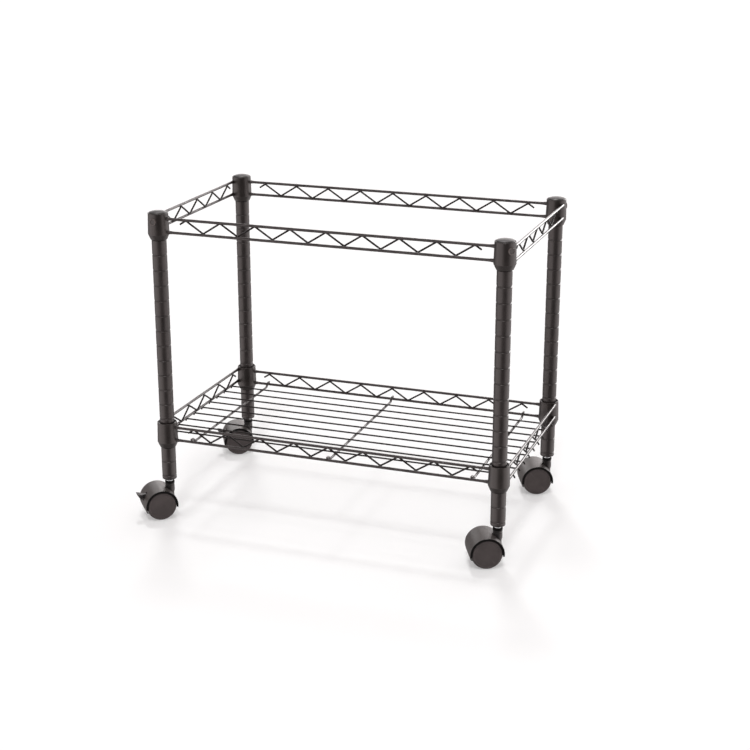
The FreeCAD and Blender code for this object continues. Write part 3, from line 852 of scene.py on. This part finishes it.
def make_mat():
    """Nine long wires with turned-down tips, each welded under both side rails."""
    z = mat_height()
    tip_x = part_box("shelf_mat_wires")[1].x - MAT_RADIUS
    rail_x = HALF_X + SIDE_OFFSET
    bend_x = rail_x + MAT_PAST_RAIL
    parts = []
    for y in MAT_ROWS:
        points = [Vector((-tip_x, y, z - MAT_TIP_DROP)), Vector((-bend_x, y, z))]
        points += [Vector((bend_x, y, z)), Vector((tip_x, y, z - MAT_TIP_DROP))]
        wire = rod(bent_path(points), MAT_RADIUS + MAT_COAT, Vector((0, 1, 0)), MAT_SIDES)
        parts.append(wire)
        for x in (-rail_x, rail_x):
            parts.append(bead(Vector((x, y, z + MAT_RADIUS)), Vector((1, 0, 0)), MAT_BEAD))
    # the mat's darker coat is painted shade
    made = piece("mat", joined(parts), "frame", shaded_web_coat)
    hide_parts("shelf_mat_wires")


def make_cross_wires():
    """Three wires under the mat, rising at their ends to lie on the lower long rails."""
    low = mat_height() - MAT_RADIUS - CROSS_RADIUS
    high = wire_height("shelf") - RAIL_GAP + RAIL_RADIUS + CROSS_RADIUS
    half = [(HALF_Y - CROSS_RISE_START, low), (HALF_Y - CROSS_RISE_END, high)]
    half.append((HALF_Y + CROSS_PAST_RAIL, high))
    along = Vector((0, 1, 0))
    parts = []
    for x in (-CROSS_SPACING, 0, CROSS_SPACING):
        rear = [Vector((x, y, z)) for y, z in half]
        front = [Vector((x, -y, z)) for y, z in half[::-1]]
        wire = rod(bent_path(front + rear), CROSS_RADIUS, Vector((1, 0, 0)), CROSS_SIDES)
        parts.append(wire)
        for y in MAT_ROWS:
            parts.append(bead(Vector((x, y, low + CROSS_RADIUS)), along, CROSS_MAT_BEAD))
        for y in (-HALF_Y, HALF_Y):
            parts.append(bead(Vector((x, y, high - CROSS_RADIUS)), along, CROSS_RAIL_BEAD))
    made = piece("cross_wires", joined(parts), "frame", wire_coat)
    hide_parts("shelf_cross_wires")


def make_inserts_and_stems():
    """Flanged inserts in the posts' lower ends, and the steel stems that the casters turn on."""
    insert_bottom, insert_top = (end.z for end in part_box("stem_inserts"))
    stem_bottom, stem_top = (end.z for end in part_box("caster_stems"))
    post_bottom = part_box("post_front_left")[0].z
    radius = post_radius("front_left")
    insert = [
        (STEM_RADIUS, insert_bottom, 0),
        (radius, insert_bottom, INSERT_EDGE),
        (radius, post_bottom, CRISP),
        (radius - POST_WALL, post_bottom, 0),
        (radius - POST_WALL, insert_top, ROUND),
        (STEM_RADIUS, insert_top, 0),
    ]
    stem = [
        (0, stem_bottom, 0),
        (PIVOT_RADIUS, stem_bottom, PIVOT_END_ROUND),
        (PIVOT_RADIUS, BOSS_TOP + WASHER_GAP, 0),
        (WASHER_RADIUS, BOSS_TOP + WASHER_GAP, EASED),
        (WASHER_RADIUS, BOSS_TOP + WASHER_TOP, EASED),
        (STEM_RADIUS, BOSS_TOP + WASHER_TOP + WASHER_SLOPE, CRISP),
        (STEM_RADIUS, stem_top, SOFT),
        (0, stem_top, 0),
    ]
    inserts, stems = [], []
    for corner in CORNERS:
        place = Matrix.Translation(post_axis(corner))
        inserts.append(placed(lathe(rounded(insert)), place))
        turned = lathe(rounded(stem, closed=False), closed=False, sides=STEM_SIDES)
        stems.append(placed(turned, place))
    made = piece("inserts", joined(inserts), "frame", black_plastic)
    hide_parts("stem_inserts")
    made = piece("stems", joined(stems), "frame", steel)
    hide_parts("caster_stems")


# ---------------------------------------------------------------- casters

def caster_place(corner):
    """The caster's own frame: swivel axis Z, trailing towards +X, and its axle's place."""
    axle = Vector(joints["wheel_a_spin_" + corner]["pos_m"])
    swivel = post_axis(corner)
    trail = Vector((axle.x - swivel.x, axle.y - swivel.y, 0))
    heading = math.atan2(trail.y, trail.x)
    place = Matrix.Translation(swivel) @ Matrix.Rotation(heading, 4, "Z")
    return place, Vector((trail.length, 0, axle.z))


def tail_half_width(height):
    """The tail narrows below the axle to the width of the web between the wheels."""
    share = (height - TAIL_TIP_HEIGHT) / (TAIL_SHOULDER_HEIGHT - TAIL_TIP_HEIGHT)
    return WHEEL_WEB_HALF + (HOOD_HALF_WIDTH - WHEEL_WEB_HALF) * min(max(share, 0), 1)


def hood_section(angle, axle_height):
    """(radius, distance to the side, corner radius) of the hood's wall at an angle."""
    half = HOOD_HALF_WIDTH
    if angle < HOOD_BACK:
        half = tail_half_width(axle_height + HOOD_OUTER * math.sin(angle))
    return [
        (HOOD_OUTER, -half, HOOD_EDGE),
        (HOOD_OUTER, -SLOT_HALF, 0),
        (HOOD_OUTER, SLOT_HALF, 0),
        (HOOD_OUTER, half, HOOD_EDGE),
        (HOOD_INNER, half, EASED),
        (HOOD_INNER, SLOT_HALF, 0),
        (HOOD_INNER, -SLOT_HALF, 0),
        (HOOD_INNER, -half, EASED),
    ]


def beside_slot(point):
    return math.isclose(abs(point.y), SLOT_HALF, rel_tol=0.001)


def slotted(faces, columns):
    """A hood's faces with the lever's slot cut through both walls and its sides closed."""
    rows = len(columns[0])
    slot_rows = [j for j, point in enumerate(columns[0]) if beside_slot(point)]
    outer_low, outer_high, inner_high, inner_low = slot_rows
    sweep = HOOD_FRONT - HOOD_TAIL
    first = round(HOOD_STEPS * (SLOT_START - HOOD_TAIL) / sweep)
    last = round(HOOD_STEPS * (SLOT_END - HOOD_TAIL) / sweep)
    opened = {i * rows + j for i in range(first, last) for j in (outer_low, inner_high)}
    faces = [face for i, face in enumerate(faces) if i not in opened]
    for i in range(first, last):
        here, there = i * rows, (i + 1) * rows
        for outer, inner in ((outer_low, inner_low), (outer_high, inner_high)):
            faces.append((here + outer, there + outer, there + inner, here + inner))
    for i in (first, last):
        faces.append(tuple(i * rows + row for row in slot_rows))
    return faces


def hood_shell(axle, braked):
    """The hood's curved shell, with a slot for the lever where the caster has a brake."""
    columns = []
    for i in range(HOOD_STEPS + 1):
        a = HOOD_TAIL + (HOOD_FRONT - HOOD_TAIL) * i / HOOD_STEPS
        ring = []
        for r, y in rounded(hood_section(a, axle.z), steps=3):
            ring.append(axle + Vector((r * math.cos(a), y, r * math.sin(a))))
        columns.append(ring)
    points, faces = skin(columns, along=True, capped=True)
    return points, slotted(faces, columns) if braked else faces


def sector_outline(back):
    """(x, z) points from the axle of the web's edge: an arc closed round the hub."""
    radius = (HOOD_INNER + HOOD_OUTER) / 2
    points = []
    for i in range(WEB_ARC_STEPS + 1):
        a = back + (HOOD_FRONT - back) * i / WEB_ARC_STEPS
        points.append((radius * math.cos(a), radius * math.sin(a)))
    for i in range(HUB_ARC_STEPS + 1):
        a = HOOD_FRONT + (2 * math.pi + back - HOOD_FRONT) * i / HUB_ARC_STEPS
        points.append((HUB_RADIUS * math.cos(a), HUB_RADIUS * math.sin(a)))
    return points


def wheel_web(braked):
    """The web between the wheels; a brake's lever moves in a gap in its middle."""
    if not braked:
        return prism(sector_outline(HOOD_BACK), WHEEL_WEB_HALF, EASED)
    cheek_half = (WHEEL_WEB_HALF - SLOT_HALF) / 2
    cheek = prism(sector_outline(HOOD_BACK), cheek_half, EASED)
    parts = [prism(sector_outline(LEVER_ROOM_END), SLOT_HALF, 0)]
    for side in (-1, 1):
        parts.append(placed(cheek, Matrix.Translation((0, side * (SLOT_HALF + cheek_half), 0))))
    return joined(parts)


def boss(hood_top):
    """The swivel boss: a ribbed barrel that narrows inside the hood to clear the wheels."""
    top = BOSS_TOP - BOSS_BELOW_TOP
    groove_low, groove_high = BOSS_GROOVE
    groove = BOSS_RADIUS - BOSS_GROOVE_DEPTH
    neck = BOSS_RADIUS - BOSS_NECK_DEPTH
    outline = [
        (0, BOSS_BOTTOM, 0),
        (BOSS_INNER_RADIUS, BOSS_BOTTOM, ROUND),
        (BOSS_INNER_RADIUS, hood_top - BOSS_FLARE, 0),
        (BOSS_RADIUS, hood_top, BOSS_ON_HOOD_ROUND),
        (BOSS_RADIUS, groove_low, EASED),
        (groove, groove_low + BOSS_SLOPE, CRISP),
        (groove, groove_high - BOSS_SLOPE, CRISP),
        (BOSS_RADIUS, groove_high, EASED),
        (BOSS_RADIUS, BOSS_NECK_START, EASED),
        (neck, BOSS_NECK_START + BOSS_SLOPE, CRISP),
        (neck, top, CRISP),
        (0, top, 0),
    ]
    return lathe(rounded(outline, closed=False), closed=False)


def hood_lips_gap_shade(axle):
    """The thin near-black lips that line the hood's two open sides round the wheels. They reach in
    over the gap to the wheels; their near-black is partly the lips' own black, partly painted shade
    in that gap.
    """
    section = rounded(LIP_SECTION, steps=2)
    parts = []
    for side in (-1, 1):
        columns = []
        for i in range(LIP_STEPS + 1):
            a = HOOD_BACK + (HOOD_FRONT - HOOD_BACK) * i / LIP_STEPS
            out, up = math.cos(a), math.sin(a)
            ring = [Vector((r * out, side * (HOOD_HALF_WIDTH + y), r * up)) for r, y in section]
            columns.append([axle + point for point in ring])
        parts.append(skin(columns, along=True, capped=True))
    return joined(parts)


def swivel_seal():
    """A near-black dust ring round the top of the swivel boss, darker than the boss: partly its own
    black, partly painted shade under the post.
    """
    return lathe(rounded([(r, BOSS_TOP + height, corner) for r, height, corner in SEAL_SECTION]))


def make_housing(corner):
    """A caster's hood with its web, its swivel boss, and its near-black lips and dust ring, whose
    near-black is partly painted shade.
    """
    place, axle = caster_place(corner)
    braked = corner in BRAKED
    body = "caster_" + corner
    node_name = "caster_housing_" + corner
    web = placed(wheel_web(braked), Matrix.Translation(axle))
    hood = placed(joined([hood_shell(axle, braked), web]), place)
    made = piece("hood_" + corner, hood, body, hood_plastic)
    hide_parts(node_name)
    hood_top = axle.z + math.sqrt(HOOD_OUTER**2 - axle.x**2)
    barrel = placed(boss(hood_top), place)
    made = piece("boss_" + corner, barrel, body, black_plastic)
    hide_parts(node_name)
    # the lips' and dust ring's near-black is partly painted shade
    lips = placed(joined([hood_lips_gap_shade(axle), swivel_seal()]), place)
    piece("hood_lips_gap_shade_" + corner, lips, body, lip_shade_plastic)


def wheel_core_outline():
    """(radius, distance from the inner face, corner radius) of a wheel inside its tread."""
    outline = [
        (AXLE_HOLE_RADIUS, 0, 0),
        (WHEEL_HUB_RADIUS, 0, EASED),
        (WHEEL_HUB_RADIUS, WHEEL_HOLLOW_DEPTH, WHEEL_HOLLOW_ROUND),
        (WHEEL_HOLLOW_RADIUS, WHEEL_HOLLOW_DEPTH, WHEEL_HOLLOW_ROUND),
        (WHEEL_HOLLOW_RADIUS, WHEEL_RIM_SETBACK, EASED),
        (TREAD_INNER, WHEEL_RIM_SETBACK, 0),
    ]
    return outline + [(radius, WHEEL_WIDTH - depth, corner) for radius, depth, corner in WHEEL_FACE]


def tread_outline(radius):
    """(radius, distance from the inner face, corner radius) of the tread."""
    return [
        (TREAD_INNER, TREAD_SETBACK, 0),
        (radius - TREAD_SHOULDER_FALL, TREAD_SETBACK, SOFT),
        (radius, TREAD_SHOULDER, TREAD_INNER_ROUND),
        (radius, WHEEL_WIDTH - TREAD_SHOULDER, TREAD_OUTER_ROUND),
        (TREAD_INNER, WHEEL_WIDTH - TREAD_FACE_SETBACK, CRISP),
    ]


def make_wheels(corner):
    """A caster's two wheels, each a disc and its tread."""
    place, axle = caster_place(corner)
    core = lathe(rounded(wheel_core_outline(), closed=False), closed=False, sides=WHEEL_SIDES)
    tread = lathe(rounded(tread_outline(axle.z)), sides=WHEEL_SIDES)
    for name, side in (("a", 1), ("b", -1)):
        lean = Matrix.Rotation(-side * math.pi / 2, 4, "X")
        spot = Matrix.Translation(axle + Vector((0, side * WHEEL_INNER_FACE, 0)))
        matrix = place @ spot @ lean
        wheel = name + "_" + corner
        body = "wheel_" + wheel
        disc = piece("disc_" + wheel, placed(core, matrix), body, wheel_plastic)
        # the tread's near-black is partly painted shade
        ring = piece("tread_" + wheel, placed(tread, matrix), body, tread_shade_plastic)
        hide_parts("caster_wheel_" + wheel)
        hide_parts("caster_wheel_" + wheel)


def grip_bars():
    """Small bars across the pedal's top, for the sole of a shoe."""
    (inner_x, inner_z, _), (tip_x, tip_z, _) = PEDAL_OUTLINE[1:3]
    half = PEDAL_HALF - GRIP_INSET
    bars = []
    for share in GRIP_SHARES:
        x = inner_x + (tip_x - inner_x) * share
        z = inner_z + (tip_z - inner_z) * share
        ends = [Vector((x, -half, z)), Vector((x, half, z))]
        bars.append(rod(ends, GRIP_RADIUS, Vector((0, 0, 1)), GRIP_SIDES, end_chamfer=CRISP))
    return bars


def make_brake(corner):
    """A pedal with grip bars on a flat lever, and the eye round the lever's pin."""
    place, axle = caster_place(corner)
    parts = [prism(rounded(LEVER_OUTLINE), LEVER_HALF, SOFT)]
    parts.append(prism(rounded(PEDAL_OUTLINE), PEDAL_HALF, PEDAL_EDGE))
    parts += grip_bars()
    ends = [Vector((BRAKE_EYE_X, side * LEVER_HALF, BRAKE_EYE_Z)) for side in (-1, 1)]
    parts.append(rod(ends, BRAKE_EYE_RADIUS, Vector((0, 0, 1)), EYE_SIDES))
    geometry = placed(joined(parts), place @ Matrix.Translation(axle))
    made = piece("pedal_" + corner, geometry, "brake_" + corner, pedal_plastic)
    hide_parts("brake_lever_" + corner)


def dress_cad_nodes():
    """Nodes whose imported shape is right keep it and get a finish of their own."""
    finishes = {"top_split_sleeves": sleeve_plastic, "shelf_split_sleeves": sleeve_plastic}
    for corner in CORNERS:
        finishes["caster_axle_" + corner] = steel
    for corner in BRAKED:
        finishes["brake_pin_" + corner] = steel
        finishes["brake_bar_" + corner] = steel
    for name, material in finishes.items():
        mesh = frame["nodes"][name].data
        mesh.materials.clear()
        mesh.materials.append(material)


# ---------------------------------------------------------------- stage

def make_floor():
    """A wide pale table that glows a little and leaves no reflection on the cart."""
    mesh = bpy.data.meshes.new("floor")
    reach = FLOOR_REACH
    corners = [(-reach, -reach, 0), (reach, -reach, 0), (reach, reach, 0), (-reach, reach, 0)]
    mesh.from_pydata(corners, [], [(0, 1, 2, 3)])
    material, tree, surface = new_material("floor")
    shade = blend(tree, noise(tree, FLOOR_CLOUDS, 3), FLOOR_DARK, FLOOR_LIGHT)
    tree.links.new(shade, surface.inputs["Base Color"])
    surface.inputs["Roughness"].default_value = FLOOR_ROUGHNESS
    surface.inputs["Specular IOR Level"].default_value = FLOOR_GLOSS
    surface.inputs["Emission Color"].default_value = FLOOR_GLOW_TINT
    surface.inputs["Emission Strength"].default_value = FLOOR_GLOW
    mesh.materials.append(material)
    floor = bpy.data.objects.new("floor", mesh)
    bpy.context.scene.collection.objects.link(floor)
    floor.visible_glossy = False


def make_world():
    """A white studio: plain white to the camera, and by direction to the cart.

    The cart reflects a dim front, two bright flanks, a softer back with a bright wall low
    behind it, a soft ceiling, and little from straight below.
    """
    world = bpy.data.worlds.new("studio")
    bpy.context.scene.world = world
    world.use_nodes = True
    tree = world.node_tree
    seen = tree.nodes["Background"]
    seen.inputs["Color"].default_value = (1, 1, 1, 1)
    seen.inputs["Strength"].default_value = 1.0
    towards = node(tree, "ShaderNodeTexCoord", {}).outputs["Generated"]
    inputs = {0: towards, 1: STUDIO_FRONT}
    front = node(tree, "ShaderNodeVectorMath", inputs, operation="DOT_PRODUCT").outputs["Value"]
    flank = spread(tree, front, *FLANK_TO_FRONT, FLANK_GLOW, FRONT_GLOW)
    behind = spread(tree, front, *BACK_TO_FLANK, BACK_GLOW / FLANK_GLOW, 1.0)
    around = product(tree, flank, behind)
    axes = node(tree, "ShaderNodeSeparateXYZ", {"Vector": towards}).outputs
    up = axes["Z"]
    level = spread(tree, up, *WALLS_TO_CEILING, 1.0, 0.0)
    level = product(tree, level, spread(tree, up, *BELOW_TO_WALLS, BELOW_GLOW, 1.0))
    wall = spread(tree, axes["Y"], *BACK_WALL_EDGE, 0.0, BACK_WALL_GLOW)
    wall = product(tree, wall, spread(tree, up, *BACK_WALL_FOOT, 0.0, 1.0))
    ceiling = spread(tree, up, *WALLS_TO_CEILING, 0.0, CEILING_GLOW)
    strength = total(tree, total(tree, product(tree, around, level), ceiling), wall)
    inputs = {"Color": STUDIO_TINT, "Strength": strength}
    lighting = node(tree, "ShaderNodeBackground", inputs).outputs["Background"]
    ray = node(tree, "ShaderNodeLightPath", {}).outputs["Is Camera Ray"]
    inputs = {0: ray, 1: lighting, 2: seen.outputs["Background"]}
    mixed = node(tree, "ShaderNodeMixShader", inputs).outputs["Shader"]
    tree.links.new(mixed, tree.nodes["World Output"].inputs["Surface"])


def facing(direction):
    """The rotation of a lamp or camera that looks along a direction."""
    return Vector(direction).to_track_quat("-Z", "Y").to_euler()


def reflector(name, place, aim, width, height, power):
    """A lamp panel seen only in the cart's gloss, which leaves the floor evenly lit."""
    light = bpy.data.lights.new(name, "AREA")
    light.shape = "RECTANGLE"
    light.size = width
    light.size_y = height
    light.energy = power
    made = bpy.data.objects.new(name, light)
    made.location = place
    made.rotation_euler = facing(Vector(aim) - Vector(place))
    made.visible_camera = False
    made.visible_diffuse = False
    bpy.context.scene.collection.objects.link(made)


def key_light(name, towards):
    """A soft distant light shining along a direction."""
    light = bpy.data.lights.new(name, "SUN")
    light.energy = KEY_POWER
    light.angle = KEY_SOFTNESS
    made = bpy.data.objects.new(name, light)
    made.rotation_euler = facing(towards)
    bpy.context.scene.collection.objects.link(made)


def make_lights():
    key_light("front_key", (-0.10, 0.45, -0.9))
    key_light("back_key", (0.21, -0.455, -0.866))
    reflector(
        "right_rear", place=(0.95, 1.5, 0.85), aim=(0.3, 0, 0.35), width=0.5, height=0.8, power=20
    )
    reflector(
        "left_rear", place=(-1.9, 2.15, 0.75), aim=(0, 0, 0.1), width=1.2, height=0.7, power=8
    )


def make_camera():
    data = bpy.data.cameras.new("camera")
    data.sensor_width = CAMERA_SENSOR
    data.lens = CAMERA_LENS
    made = bpy.data.objects.new("camera", data)
    made.location = CAMERA_PLACE
    made.rotation_euler = facing(Vector(CAMERA_AIM) - Vector(CAMERA_PLACE))
    bpy.context.scene.collection.objects.link(made)
    bpy.context.scene.camera = made


def main():
    for corner in CORNERS:
        make_post(corner)
        make_cap(corner)
        make_housing(corner)
        make_wheels(corner)
        for level in LEVELS:
            make_collar(level, corner)
    for corner in BRAKED:
        make_brake(corner)
    for level in LEVELS:
        for side in OUTWARD:
            make_rails(level, side)
            make_web(level, side)
    make_mat()
    make_cross_wires()
    make_inserts_and_stems()
    dress_cad_nodes()
    make_floor()
    make_world()
    make_lights()
    make_camera()
    bpy.context.scene.view_settings.view_transform = "Standard"


main()
